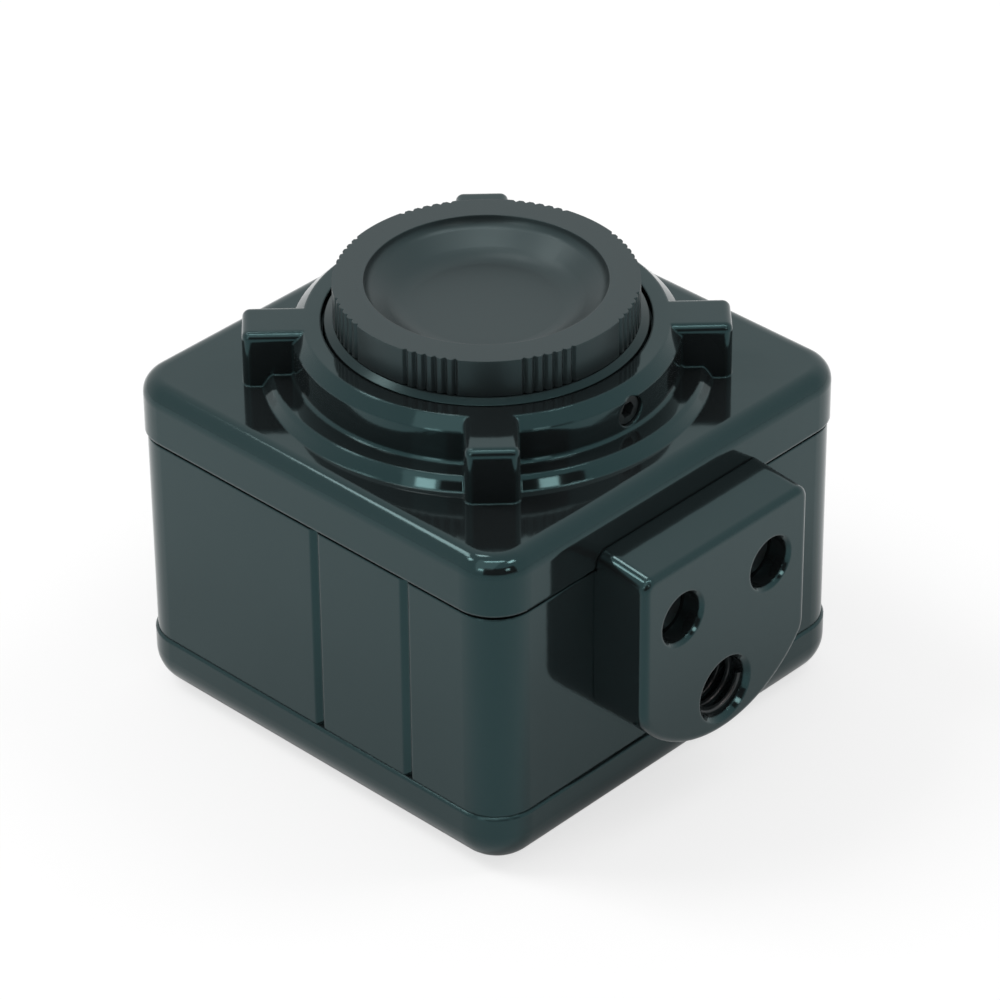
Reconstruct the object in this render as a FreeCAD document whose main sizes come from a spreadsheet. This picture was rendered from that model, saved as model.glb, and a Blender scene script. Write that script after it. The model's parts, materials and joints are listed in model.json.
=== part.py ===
import FreeCAD, Part
import Sketcher
import math
import os

# A square camera head with a lens mount on its front. It stands on its rear face: +Z runs along the
# optical axis out of the lens mount, -Y is the side that carries the tripod foot, and the origin is
# the centre of the rear face.
doc = FreeCAD.newDocument("camera_head")
Vector = FreeCAD.Vector

# Driving dimensions, in millimetres and degrees.
DRIVING = {
    # case of three castings, stacked along the optical axis
    "case_width": 50.6,
    "corner_radius": 4.75,
    "rear_height": 6.45,
    "middle_height": 23.72,
    "front_height": 6.03,
    "case_wall": 2.2,
    "joint_overlap": 0.4,
    "tap_clearance": 0.05,
    "front_plate": 2.3,
    "rear_plate": 2.2,
    "middle_inset": 0.25,
    "front_edge_round": 1.9,
    "rear_edge_round": 4.0,
    "seam_gap": 0.5,
    "seam_depth": 0.6,
    "seam_bevel": 0.22,
    "rib_groove_width": 1.1,
    "rib_groove_depth": 0.5,
    "rib_groove_lip": 0.3,
    "rib_groove_first": 0.9,
    "rib_groove_second": 13.0,
    # long screws through the corner columns
    "column_side": 6.4,
    "column_round": 2.0,
    "case_screw_inset": 4.45,
    "case_screw_radius": 1.25,
    "case_screw_head_radius": 2.25,
    "case_screw_head_height": 1.9,
    "case_screw_bite": 3.9,
    "case_screw_key": 2.0,
    "case_screw_key_depth": 1.1,
    "head_clearance": 0.25,
    "head_recess": 0.4,
    "screw_clearance": 0.15,
    "screw_tip_room": 0.4,
    # lens mount
    "disc_step": 2.45,
    "disc_flare": 0.6,
    "disc_height": 1.3,
    "disc_bevel": 0.35,
    "ring_wall": 3.05,
    "ring_height": 5.93,
    "ring_bevel": 1.15,
    "ring_foot_bevel": 0.25,
    "lug_round": 0.75,
    "lug_length": 4.8,
    "lug_width": 5.3,
    "lug_corner": 0.8,
    "lug_bury": 1.6,
    "lug_angle": 45,
    "mount_relief_gap": 0.35,
    "mount_relief_depth": 1.2,
    "mount_floor_depth": 1.0,
    "mount_rise": 0.29,
    "mount_lift": 0.5,
    "mount_outer": 15.85,
    "mount_bevel_width": 0.8,
    "mount_bevel_drop": 0.39,
    "mount_thread": 12.35,
    "mount_clearance": 0.15,
    "flange_distance": 17.526,
    "lock_screw_radius": 1.5,
    "lock_screw_drop": 2.6,
    "lock_screw_sink": 0.45,
    "lock_screw_tip_gap": 0.1,
    "lock_screw_key": 1.5,
    "lock_screw_key_depth": 1.3,
    "lock_screw_clearance": 0.1,
    "lock_screw_point": 0.5,
    # infrared filter in its seat
    "filter_radius": 10.8,
    "filter_thickness": 1.1,
    "filter_seal_thickness": 0.5,
    "filter_seal_width": 0.9,
    "filter_retainer_height": 1.0,
    "filter_retainer_width": 1.3,
    "filter_clearance": 0.1,
    "filter_ledge": 1.1,
    "light_radius": 9.6,
    "seat_boss_radius": 13.6,
    # dust cap
    "cap_margin": 0.85,
    "cap_height": 3.97,
    "cap_gap": 0.05,
    "cap_rim": 3.05,
    "cap_dish_depth": 2.9,
    "cap_dish_wall": 0.9,
    "cap_dish_draft": 0.25,
    "cap_dish_bend": 1.4,
    "cap_dish_foot": 4.0,
    "cap_dish_floor_radius": 8.6,
    "cap_floor": 1.1,
    "cap_spigot_length": 3.6,
    "cap_spigot_wall": 1.4,
    "cap_spigot_gap": 0.25,
    "cap_notch_depth": 0.3,
    "cap_notch_width": 0.62,
    "cap_notch_pitch": 3.9,
    "cap_notch_count": 6,
    "cap_notch_groups": 8,
    # tripod foot
    "foot_width": 23.4,
    "foot_thickness": 6.6,
    "foot_rise": 1.03,
    "foot_top_slope": 0.7,
    "foot_arc_radius": 13.8,
    "foot_arc_drop": 9.2,
    "foot_edge_round": 0.75,
    "foot_top_corner": 1.4,
    "foot_low_corner": 3.0,
    "foot_rebate": 0.35,
    "foot_rebate_drop": 0.3,
    "foot_hole_spacing": 12.6,
    "foot_hole_drop": 6.6,
    "foot_screw_radius": 1.5,
    "foot_screw_head_radius": 2.4,
    "foot_screw_head_height": 2.1,
    "foot_screw_seat": 2.0,
    "foot_screw_key": 2.0,
    "foot_screw_key_depth": 1.4,
    "foot_hole_bevel": 0.35,
    "foot_pad_depth": 3.1,
    "foot_pad_width": 20.0,
    "foot_pad_height": 8.0,
    "tripod_radius": 3.2,
    "tripod_drop": 18.2,
    "tripod_bevel": 0.5,
    # electronics
    "board_margin": 3.85,
    "board_corner_cut": 7.8,
    "board_thickness": 1.6,
    "post_inset": 5.8,
    "post_radius": 2.2,
    "post_hole_depth": 4.0,
    "spacer_width": 4.0,
    "spacer_length": 3.3,
    "spacer_hole_depth": 2.4,
    "stud_bite": 3.2,
    "board_screw_bite": 2.0,
    "board_screw_radius": 1.0,
    "board_screw_head_width": 3.2,
    "board_screw_head_height": 1.3,
    "board_hole_clearance": 0.1,
    "sensor_width": 15.0,
    "sensor_height": 1.9,
    "sensor_die_depth": 0.6,
    "sensor_die_thickness": 0.4,
    "sensor_well": 10.4,
    "sensor_die_width": 8.8,
    "sensor_window_width": 12.4,
    "sensor_window_thickness": 0.7,
    "link_length": 14.0,
    "link_width": 4.4,
    "link_place": 11.5,
    "link_plug_height": 1.6,
    "chip_width": 12.0,
    "chip_height": 1.4,
    "chip_place": 9.5,
    "memory_side": 12.5,
    "memory_length": 9.0,
    "memory_width": 6.0,
    "memory_height": 1.0,
    "choke_side": 12.5,
    "choke_place": 7.5,
    "choke_width": 5.0,
    "choke_height": 3.0,
    "crystal_side": 12.0,
    "crystal_place": 4.0,
    "crystal_length": 5.0,
    "crystal_width": 3.2,
    "crystal_height": 1.0,
    # rear socket and status light
    "socket_width": 12.0,
    "socket_depth": 10.9,
    "socket_shell": 0.4,
    "socket_recess": 0.5,
    "socket_corner": 0.8,
    "socket_insert_step": 0.3,
    "socket_tongue_step": 0.6,
    "socket_place": 7.0,
    "socket_cavity_width": 8.6,
    "socket_cavity_depth": 7.9,
    "socket_cavity_length": 9.0,
    "socket_tongue_width": 5.6,
    "socket_tongue_depth": 3.2,
    "socket_clearance": 0.3,
    "light_pipe_radius": 1.5,
    "light_pipe_place": 12.5,
    "light_pipe_recess": 0.3,
    "light_pipe_collar": 2.2,
    "light_pipe_collar_height": 1.2,
    "light_pipe_clearance": 0.08,
    "led_width": 2.0,
    "led_height": 0.8,
    "led_gap": 0.25,
}

# Sizes and places worked out from the driving dimensions.
DERIVED = {
    "full_turn": "360",
    "half_turn": "full_turn / 2",
    "rear_face": "0",
    "middle_bottom": "rear_height",
    "front_bottom": "rear_height + middle_height",
    "front_top": "front_bottom + front_height",
    "middle_width": "case_width - 2 * middle_inset",
    "middle_corner": "corner_radius - middle_inset",
    "middle_half": "middle_width / 2",
    "cavity_width": "middle_width - 2 * case_wall",
    "cavity_corner": "middle_corner - case_wall",
    "rib_groove_root": "middle_half - rib_groove_depth",
    "rib_groove_outside": "middle_half + rib_groove_depth",
    "rib_groove_flare": "2 * rib_groove_width",
    "seam_width": "middle_width - 2 * seam_depth",
    "seam_corner": "middle_corner - seam_depth",
    "front_cavity": "front_height - front_plate",
    "front_inner_top": "front_top - front_plate",
    "rear_cavity": "rear_height - rear_plate",
    "case_screw_place": "cavity_width / 2 - case_screw_inset",
    "column_inner": "case_screw_place - column_side / 2",
    "column_outer": "cavity_width / 2 + joint_overlap",
    "front_column_length": "front_cavity + joint_overlap",
    "rear_column_bottom": "rear_plate - joint_overlap",
    "rear_column_length": "rear_height - rear_column_bottom",
    "case_screw_hole": "case_screw_radius + screw_clearance",
    "case_screw_sink": "case_screw_head_radius + head_clearance",
    "case_screw_sink_depth": "case_screw_head_height + head_recess",
    "case_screw_tip": "front_bottom + case_screw_bite",
    "case_screw_tap": "case_screw_radius + tap_clearance",
    "case_screw_hole_depth": "case_screw_bite + screw_tip_room",
    "mount_bore": "mount_outer + mount_clearance",
    "ring_radius": "mount_bore + ring_wall",
    "disc_radius": "ring_radius + disc_step",
    "disc_base": "disc_radius + disc_flare",
    "disc_top": "front_top + disc_height",
    "disc_bottom": "front_top - joint_overlap",
    "ring_top": "front_top + ring_height",
    "ring_bevel_radius": "ring_radius - ring_bevel",
    "ring_bevel_bottom": "ring_top - ring_bevel",
    "ring_foot_radius": "ring_radius + ring_foot_bevel",
    "ring_foot_top": "disc_top + ring_foot_bevel",
    "disc_bevel_radius": "disc_radius - disc_bevel",
    "disc_bevel_bottom": "disc_top - disc_bevel",
    "lug_start": "ring_radius - lug_bury",
    "lug_reach": "ring_radius + lug_length",
    "lug_height": "ring_top - disc_bottom",
    "mount_relief": "mount_outer + mount_relief_gap",
    "mount_relief_bottom": "ring_top - mount_relief_depth",
    "mount_floor": "front_top - mount_floor_depth",
    "mount_face": "ring_top + mount_rise",
    "mount_bevel_radius": "mount_outer - mount_bevel_width",
    "mount_bevel_bottom": "mount_face - mount_bevel_drop",
    "mount_bottom": "mount_floor + mount_lift",
    "lock_screw_height": "ring_top - lock_screw_drop",
    "lock_screw_hole": "lock_screw_radius + lock_screw_clearance",
    "lock_screw_head": "ring_radius - lock_screw_sink",
    "lock_screw_tip": "mount_outer + lock_screw_tip_gap",
    "lock_screw_length": "lock_screw_head - lock_screw_tip",
    "lock_screw_outside": "ring_radius + joint_overlap",
    "lock_screw_reach": "lock_screw_outside - mount_outer + joint_overlap",
    "filter_seat_radius": "filter_radius + filter_clearance",
    "filter_seat": "mount_floor - filter_seal_thickness - filter_thickness - filter_retainer_height",
    "filter_bottom": "filter_seat + filter_seal_thickness",
    "filter_top": "filter_bottom + filter_thickness",
    "filter_seal_inner": "filter_radius - filter_seal_width",
    "filter_retainer_inner": "filter_radius - filter_retainer_width",
    "seat_boss_bottom": "filter_seat - filter_ledge",
    "seat_boss_height": "front_inner_top - seat_boss_bottom + joint_overlap",
    "bore_start": "seat_boss_bottom - joint_overlap",
    "bore_end": "ring_top + joint_overlap",
    "sensor_plane": "mount_face - flange_distance",
    "sensor_board_top": "sensor_plane - sensor_height + sensor_die_depth",
    "sensor_board_bottom": "sensor_board_top - board_thickness",
    "sensor_top": "sensor_board_top + sensor_height",
    "sensor_well_depth": "sensor_die_depth + sensor_die_thickness",
    "sensor_die_bottom": "sensor_plane - sensor_die_thickness",
    "main_board_top": "sensor_board_bottom - spacer_length",
    "main_board_bottom": "main_board_top - board_thickness",
    "board_width": "cavity_width - 2 * board_margin",
    "post_place": "board_width / 2 - post_inset",
    "board_hole": "board_screw_radius + board_hole_clearance",
    "post_length": "front_inner_top - sensor_board_top + joint_overlap",
    "board_tap": "board_screw_radius + tap_clearance",
    "stud_length": "board_thickness + stud_bite",
    "board_screw_length": "board_thickness + board_screw_bite",
    "link_socket_height": "spacer_length - link_plug_height",
    "cap_radius": "mount_outer - cap_margin",
    "cap_bottom": "mount_face + cap_gap",
    "cap_top": "cap_bottom + cap_height",
    "cap_spigot_outer": "mount_thread - cap_spigot_gap",
    "cap_spigot_inner": "cap_spigot_outer - cap_spigot_wall",
    "cap_spigot_bottom": "cap_bottom - cap_spigot_length",
    "cap_dish_radius": "cap_radius - cap_rim",
    "cap_dish_wall_bottom": "cap_top - cap_dish_wall",
    "cap_dish_wall_radius": "cap_dish_radius - cap_dish_draft",
    "cap_dish_floor": "cap_top - cap_dish_depth",
    "cap_underside": "cap_dish_floor - cap_floor",
    "cap_notch_root": "cap_radius - cap_notch_depth",
    "cap_notch_outside": "cap_radius + cap_notch_depth",
    "cap_notch_flare": "2 * cap_notch_width",
    "cap_notch_span": "(cap_notch_count - 1) * cap_notch_pitch",
    "cap_notch_start": "half_turn / cap_notch_groups - cap_notch_span / 2",
    "foot_top": "front_bottom + foot_rise",
    "foot_arc_height": "foot_top - foot_arc_drop",
    "foot_hole_height": "foot_top - foot_hole_drop",
    "tripod_height": "foot_top - tripod_drop",
    "foot_back": "middle_half",
    "foot_front": "foot_back + foot_thickness",
    "foot_half": "foot_width / 2",
    "foot_back_side": "-foot_back",
    "foot_front_side": "-foot_front",
    "foot_top_back": "foot_top + foot_top_slope",
    "foot_rebate_start": "front_bottom - foot_rebate_drop",
    "foot_rebate_height": "2 * (foot_top - foot_rebate_start)",
    "foot_rebate_centre": "foot_top",
    "foot_rebate_width": "2 * foot_width",
    "foot_screw_hole": "foot_screw_radius + screw_clearance",
    "foot_screw_sink": "foot_screw_head_radius + head_clearance",
    "foot_screw_sink_depth": "foot_thickness - foot_screw_seat",
    "foot_screw_head_back": "foot_back + foot_screw_seat",
    "foot_screw_head_front": "foot_screw_head_back + foot_screw_head_height",
    "foot_screw_length": "foot_screw_seat + case_wall + foot_pad_depth - screw_tip_room",
    "foot_hole_half": "foot_hole_spacing / 2",
    "foot_tap_radius": "foot_screw_radius + tap_clearance",
    "foot_tap_depth": "case_wall + foot_pad_depth",
    "foot_pad_inner": "middle_half - case_wall + joint_overlap",
    "foot_pad_length": "foot_pad_depth + joint_overlap",
    "socket_length": "main_board_bottom - socket_recess",
    "socket_hole_width": "socket_width + 2 * socket_clearance",
    "socket_hole_depth": "socket_depth + 2 * socket_clearance",
    "socket_core_width": "socket_width - 2 * socket_shell",
    "socket_core_depth": "socket_depth - 2 * socket_shell",
    "socket_core_length": "socket_length - socket_shell",
    "socket_face": "socket_recess + socket_insert_step",
    "socket_insert_length": "socket_core_length - socket_insert_step",
    "socket_tongue_start": "socket_face + socket_tongue_step",
    "socket_tongue_length": "socket_cavity_length - socket_tongue_step + joint_overlap",
    "light_pipe_hole": "light_pipe_radius + light_pipe_clearance",
    "light_pipe_top": "main_board_bottom - led_height - led_gap",
    "light_pipe_length": "light_pipe_top - light_pipe_recess",
}

CORNERS = 4
HEXAGON = 6
QUARTER_TURN = 90
MATCH = 0.01
LEAST_CHANGE = 1e-6

sheet = doc.addObject("Spreadsheet::Sheet", "Sizes")
nodes = []


def fill_sheet():
    """Writes the driving numbers, then the formulas that follow from them."""
    cells = [(name, str(number)) for name, number in DRIVING.items()]
    cells += [(name, "=" + formula) for name, formula in DERIVED.items()]
    for row, (name, content) in enumerate(cells, start=1):
        sheet.set("A%d" % row, name)
        sheet.set("B%d" % row, content)
        sheet.setAlias("B%d" % row, name)
    doc.recompute()


def value(name):
    """The present value of a cell, for a sketch's first guess and for finding edges."""
    return float(sheet.get(name))


def bind(target, path, name, sign=""):
    target.setExpression(path, "%sSizes.%s" % (sign, name))


def new_body(label):
    body = doc.addObject("PartDesign::Body", label)
    body.Label = label
    body.AllowCompound = True
    nodes.append(body)
    return body


def origin_feature(body, role):
    return next(item for item in body.Origin.OriginFeatures if item.Role == role)


def new_sketch(
    body, name, plane="XY_Plane", out=None, right=None, up=None, signs=("", "", ""), turn=None
):
    """A sketch on one of the body's origin planes, shifted and turned about its normal by cells."""
    sketch = body.newObject("Sketcher::SketchObject", name)
    sketch.AttachmentSupport = [(origin_feature(body, plane), "")]
    sketch.MapMode = "FlatFace"
    if turn:
        rotation = FreeCAD.Rotation(Vector(0, 0, 1), value(turn))
        sketch.AttachmentOffset = FreeCAD.Placement(Vector(), rotation)
        bind(sketch, "AttachmentOffset.Rotation.Angle", turn)
    for axis, cell, sign in zip("xyz", (right, up, out), signs):
        if cell:
            bind(sketch, "AttachmentOffset.Base." + axis, cell, sign)
    return sketch


def set_size(sketch, kind, places, name):
    index = sketch.addConstraint(Sketcher.Constraint(kind, *places, value(name)))
    bind(sketch, "Constraints[%d]" % index, name)


def draw_circle(sketch, radius, right=None, up=None):
    """A circle at the sketch's origin, or at a place given by two cells."""
    centre = Vector(value(right) if right else 0, value(up) if up else 0, 0)
    circle = sketch.addGeometry(Part.Circle(centre, Vector(0, 0, 1), value(radius)))
    set_size(sketch, "Radius", (circle,), radius)
    if right:
        set_size(sketch, "DistanceX", (-1, 1, circle, 3), right)
    else:
        sketch.addConstraint(Sketcher.Constraint("PointOnObject", circle, 3, -2))
    if up:
        set_size(sketch, "DistanceY", (-1, 1, circle, 3), up)
    else:
        sketch.addConstraint(Sketcher.Constraint("PointOnObject", circle, 3, -1))
    return circle


def draw_pair(sketch, radius, right, up):
    """Two equal circles on either side of the sketch's upright axis."""
    first = draw_circle(sketch, radius, right, up)
    centre = Vector(-value(right), value(up), 0)
    second = sketch.addGeometry(Part.Circle(centre, Vector(0, 0, 1), value(radius)))
    sketch.addConstraint(Sketcher.Constraint("Equal", first, second))
    sketch.addConstraint(Sketcher.Constraint("Symmetric", first, 3, second, 3, -2))


def draw_loop(sketch, points):
    """Lines from point to point and back to the first, joined at their ends."""
    followers = points[1:] + points[:1]
    lines = [sketch.addGeometry(Part.LineSegment(a, b)) for a, b in zip(points, followers)]
    for before, line in zip(lines[-1:] + lines[:-1], lines):
        sketch.addConstraint(Sketcher.Constraint("Coincident", before, 2, line, 1))
    return lines


def draw_polygon(sketch, corners):
    """A closed outline whose corners are pairs of cells; None puts a corner on an axis."""
    lines = draw_loop(sketch, [Vector(value(x) if x else 0, value(y) if y else 0, 0) for x, y in corners])
    for line, (x, y) in zip(lines, corners):
        if x:
            set_size(sketch, "DistanceX", (-1, 1, line, 1), x)
        else:
            sketch.addConstraint(Sketcher.Constraint("PointOnObject", line, 1, -2))
        if y:
            set_size(sketch, "DistanceY", (-1, 1, line, 1), y)
        else:
            sketch.addConstraint(Sketcher.Constraint("PointOnObject", line, 1, -1))


def draw_wedge(sketch, near_end, near_width, far_end, far_width):
    """A bar along the sketch's x axis, mirrored about it; with no near width it starts in a point."""
    half_far = value(far_width) / 2
    half_near = value(near_width) / 2 if near_width else 0
    points = [Vector(value(near_end), -half_near, 0), Vector(value(far_end), -half_far, 0)]
    points.append(Vector(value(far_end), half_far, 0))
    if near_width:
        points.append(Vector(value(near_end), half_near, 0))
    lines = draw_loop(sketch, points)
    set_size(sketch, "DistanceX", (-1, 1, lines[0], 1), near_end)
    set_size(sketch, "DistanceX", (-1, 1, lines[1], 1), far_end)
    sketch.addConstraint(Sketcher.Constraint("Symmetric", lines[1], 1, lines[2], 1, -1))
    set_size(sketch, "DistanceY", (lines[1], 1, lines[2], 1), far_width)
    if near_width:
        sketch.addConstraint(Sketcher.Constraint("Symmetric", lines[0], 1, lines[3], 1, -1))
        set_size(sketch, "DistanceY", (lines[0], 1, lines[3], 1), near_width)
    else:
        sketch.addConstraint(Sketcher.Constraint("PointOnObject", lines[0], 1, -1))


def draw_rectangle(sketch, width, height):
    """A rectangle centred on the sketch's origin."""
    w = value(width) / 2
    h = value(height) / 2
    lines = draw_loop(sketch, [Vector(-w, -h, 0), Vector(w, -h, 0), Vector(w, h, 0), Vector(-w, h, 0)])
    for i, line in enumerate(lines):
        direction = "Horizontal" if i % 2 == 0 else "Vertical"
        sketch.addConstraint(Sketcher.Constraint(direction, line))
    sketch.addConstraint(Sketcher.Constraint("Symmetric", lines[0], 1, lines[2], 1, -1, 1))
    set_size(sketch, "DistanceX", (lines[0], 1, lines[0], 2), width)
    set_size(sketch, "DistanceY", (lines[1], 1, lines[1], 2), height)


def draw_rounded_square(sketch, width, radius):
    """A square with rounded corners, centred on the sketch's origin."""
    half = value(width) / 2
    r = value(radius)
    sides = []
    corners = []
    for quarter in range(CORNERS):
        turn = FreeCAD.Rotation(Vector(0, 0, 1), QUARTER_TURN * quarter)
        start = turn.multVec(Vector(r - half, -half, 0))
        end = turn.multVec(Vector(half - r, -half, 0))
        centre = turn.multVec(Vector(half - r, r - half, 0))
        begin = math.radians(QUARTER_TURN * (quarter - 1))
        circle = Part.Circle(centre, Vector(0, 0, 1), r)
        sides.append(sketch.addGeometry(Part.LineSegment(start, end)))
        corners.append(sketch.addGeometry(Part.ArcOfCircle(circle, begin, begin + math.pi / 2)))
    for i in range(CORNERS):
        sketch.addConstraint(Sketcher.Constraint("Tangent", sides[i], 2, corners[i], 1))
        sketch.addConstraint(Sketcher.Constraint("Tangent", corners[i - 1], 2, sides[i], 1))
        direction = "Horizontal" if i % 2 == 0 else "Vertical"
        sketch.addConstraint(Sketcher.Constraint(direction, sides[i]))
    for corner in corners[1:]:
        sketch.addConstraint(Sketcher.Constraint("Equal", corners[0], corner))
    sketch.addConstraint(Sketcher.Constraint("Equal", sides[0], sides[1]))
    sketch.addConstraint(Sketcher.Constraint("Symmetric", corners[0], 3, corners[2], 3, -1, 1))
    set_size(sketch, "DistanceX", (sides[3], 1, sides[1], 1), width)
    set_size(sketch, "Radius", (corners[0],), radius)


def draw_hexagon(sketch, width):
    """A hexagon of the given width across its flats, centred on the sketch's origin."""
    reach = value(width) / math.sqrt(3)
    turns = [2 * math.pi * i / HEXAGON for i in range(HEXAGON)]
    lines = draw_loop(sketch, [Vector(reach * math.cos(a), reach * math.sin(a), 0) for a in turns])
    guide = sketch.addGeometry(Part.Circle(Vector(), Vector(0, 0, 1), reach), True)
    sketch.addConstraint(Sketcher.Constraint("Coincident", guide, 3, -1, 1))
    for line in lines:
        sketch.addConstraint(Sketcher.Constraint("PointOnObject", line, 1, guide))
    for line in lines[1:]:
        sketch.addConstraint(Sketcher.Constraint("Equal", lines[0], line))
    sketch.addConstraint(Sketcher.Constraint("Horizontal", lines[1]))
    set_size(sketch, "DistanceY", (lines[4], 1, lines[1], 1), width)


def volume(body):
    return 0.0 if body.Shape.isNull() else body.Shape.Volume


def settle(body, feature, before, growing):
    """Recomputes, and makes sure that the new feature added or removed material."""
    doc.recompute()
    change = volume(body) - before
    if (change > 0) != growing or abs(change) < LEAST_CHANGE:
        raise RuntimeError("%s changed the volume by %.4f" % (feature.Label, change))
    return feature


def pad(body, sketch, name, length, reverse=False):
    before = volume(body)
    feature = body.newObject("PartDesign::Pad", name)
    feature.Profile = sketch
    feature.Reversed = reverse
    bind(feature, "Length", length)
    return settle(body, feature, before, True)


def pocket(body, sketch, name, length=None, reverse=False):
    """Cuts a sketch to a depth, or right through where no depth is given."""
    before = volume(body)
    feature = body.newObject("PartDesign::Pocket", name)
    feature.Profile = sketch
    feature.Reversed = reverse
    if length:
        bind(feature, "Length", length)
    else:
        feature.Type = "ThroughAll"
    return settle(body, feature, before, False)


def revolve(body, sketch, name, cut=False):
    before = volume(body)
    feature = body.newObject("PartDesign::Groove" if cut else "PartDesign::Revolution", name)
    feature.Profile = sketch
    feature.ReferenceAxis = (sketch, ["V_Axis"])
    bind(feature, "Angle", "full_turn")
    return settle(body, feature, before, not cut)


def polar(body, originals, name, growing):
    """Repeats features at the four corners."""
    before = volume(body)
    feature = body.newObject("PartDesign::PolarPattern", name)
    feature.Originals = originals
    feature.Axis = (origin_feature(body, "Z_Axis"), [""])
    bind(feature, "Angle", "full_turn")
    feature.Occurrences = CORNERS
    body.Tip = feature
    return settle(body, feature, before, growing)


def pick_edges(feature, wanted):
    return ["Edge%d" % i for i, edge in enumerate(feature.Shape.Edges, start=1) if wanted(edge)]


def soften(body, kind, name, base, wanted, size):
    """Rounds or bevels the edges of a feature that pass a test."""
    feature = body.newObject("PartDesign::" + kind, name)
    feature.Base = (base, pick_edges(base, wanted))
    bind(feature, "Radius" if kind == "Fillet" else "Size", size)
    doc.recompute()
    return feature


def near(a, b):
    return abs(a - b) < MATCH


def level(cell):
    """A test for edges that lie flat at one height."""
    height = value(cell)
    return lambda edge: near(edge.BoundBox.ZMin, height) and near(edge.BoundBox.ZMax, height)


def ring_edge(radius, height):
    """A test for a full circle about the optical axis."""
    r = value(radius)
    z = value(height)

    def test(edge):
        box = edge.BoundBox
        return near(box.ZMin, z) and near(box.ZMax, z) and near(box.XMax, r) and near(box.XMin, -r)

    return test


def upright(edge):
    box = edge.BoundBox
    return near(box.XLength, 0) and near(box.YLength, 0) and box.ZLength > MATCH


def add_columns(body, bottom, length, prefix):
    """The four corner columns that the long case screws run through."""
    sketch = new_sketch(body, prefix + "_column_sketch", out=bottom)
    low = "column_inner"
    high = "column_outer"
    draw_polygon(sketch, [(low, low), (high, low), (high, high), (low, high)])
    column = pad(body, sketch, prefix + "_column", length)
    pattern = polar(body, [column], prefix + "_columns", True)
    inner = value("column_inner")

    def inside_corner(edge):
        middle = edge.BoundBox.Center
        return upright(edge) and near(abs(middle.x), inner) and near(abs(middle.y), inner)

    return soften(body, "Fillet", prefix + "_column_rounds", pattern, inside_corner, "column_round")


def drill_columns(body, height, radius, name, length=None, reverse=False):
    sketch = new_sketch(body, name + "_sketch", out=height)
    draw_circle(sketch, radius, "case_screw_place", "case_screw_place")
    hole = pocket(body, sketch, name, length, reverse)
    return polar(body, [hole], name + "_pattern", False)


def front_cover():
    """The casting with the lens mount: a plate on four walls, a stepped disc, a ring and four lugs."""
    body = new_body("front_cover")
    sketch = new_sketch(body, "front_outline", out="front_bottom")
    draw_rounded_square(sketch, "case_width", "corner_radius")
    slab = pad(body, sketch, "front_block", "front_height")
    soften(body, "Fillet", "front_edge", slab, level("front_top"), "front_edge_round")

    sketch = new_sketch(body, "front_turning", "XZ_Plane")
    draw_polygon(sketch, [
        (None, "disc_bottom"),
        ("disc_base", "disc_bottom"),
        ("disc_base", "front_top"),
        ("disc_radius", "disc_bevel_bottom"),
        ("disc_bevel_radius", "disc_top"),
        ("ring_foot_radius", "disc_top"),
        ("ring_radius", "ring_foot_top"),
        ("ring_radius", "ring_bevel_bottom"),
        ("ring_bevel_radius", "ring_top"),
        (None, "ring_top"),
    ])
    revolve(body, sketch, "front_ring")

    sketch = new_sketch(body, "lug_outline", out="disc_bottom", turn="lug_angle")
    draw_wedge(sketch, "lug_start", "lug_width", "lug_reach", "lug_width")
    lug = pad(body, sketch, "lug", "lug_height")
    lugs = polar(body, [lug], "lugs", True)

    ring = value("ring_radius")
    top = value("ring_top")

    def distance(edge):
        return math.hypot(edge.BoundBox.Center.x, edge.BoundBox.Center.y)

    def lug_corner(edge):
        return upright(edge) and near(edge.BoundBox.ZMax, top) and distance(edge) > ring

    corners = soften(body, "Fillet", "lug_corners", lugs, lug_corner, "lug_corner")
    on_top = level("ring_top")
    soften(body, "Fillet", "lug_edges", corners, lambda e: on_top(e) and distance(e) > ring, "lug_round")

    sketch = new_sketch(body, "front_cavity_outline", out="front_bottom")
    draw_rounded_square(sketch, "cavity_width", "cavity_corner")
    pocket(body, sketch, "front_cavity", "front_cavity", reverse=True)
    add_columns(body, "front_bottom", "front_column_length", "front")

    sketch = new_sketch(body, "seat_boss_outline", out="seat_boss_bottom")
    draw_circle(sketch, "seat_boss_radius")
    pad(body, sketch, "seat_boss", "seat_boss_height")
    sketch = new_sketch(body, "post_outline", out="sensor_board_top")
    draw_circle(sketch, "post_radius", "post_place", "post_place")
    post = pad(body, sketch, "post", "post_length")
    polar(body, [post], "posts", True)

    sketch = new_sketch(body, "bore_section", "XZ_Plane")
    draw_polygon(sketch, [
        (None, "bore_start"),
        ("light_radius", "bore_start"),
        ("light_radius", "filter_seat"),
        ("filter_seat_radius", "filter_seat"),
        ("filter_seat_radius", "mount_floor"),
        ("mount_bore", "mount_floor"),
        ("mount_bore", "mount_relief_bottom"),
        ("mount_relief", "mount_relief_bottom"),
        ("mount_relief", "bore_end"),
        (None, "bore_end"),
    ])
    revolve(body, sketch, "bore", cut=True)

    drill_columns(body, "front_bottom", "case_screw_tap", "front_tap", "case_screw_hole_depth", reverse=True)
    sketch = new_sketch(body, "post_tap_outline", out="sensor_board_top")
    draw_circle(sketch, "board_tap", "post_place", "post_place")
    tap = pocket(body, sketch, "post_tap", "post_hole_depth", reverse=True)
    polar(body, [tap], "post_taps", False)
    sketch = new_sketch(body, "lock_hole_outline", "XZ_Plane", out="lock_screw_outside")
    draw_circle(sketch, "lock_screw_hole", up="lock_screw_height")
    pocket(body, sketch, "lock_hole", "lock_screw_reach")


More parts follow.
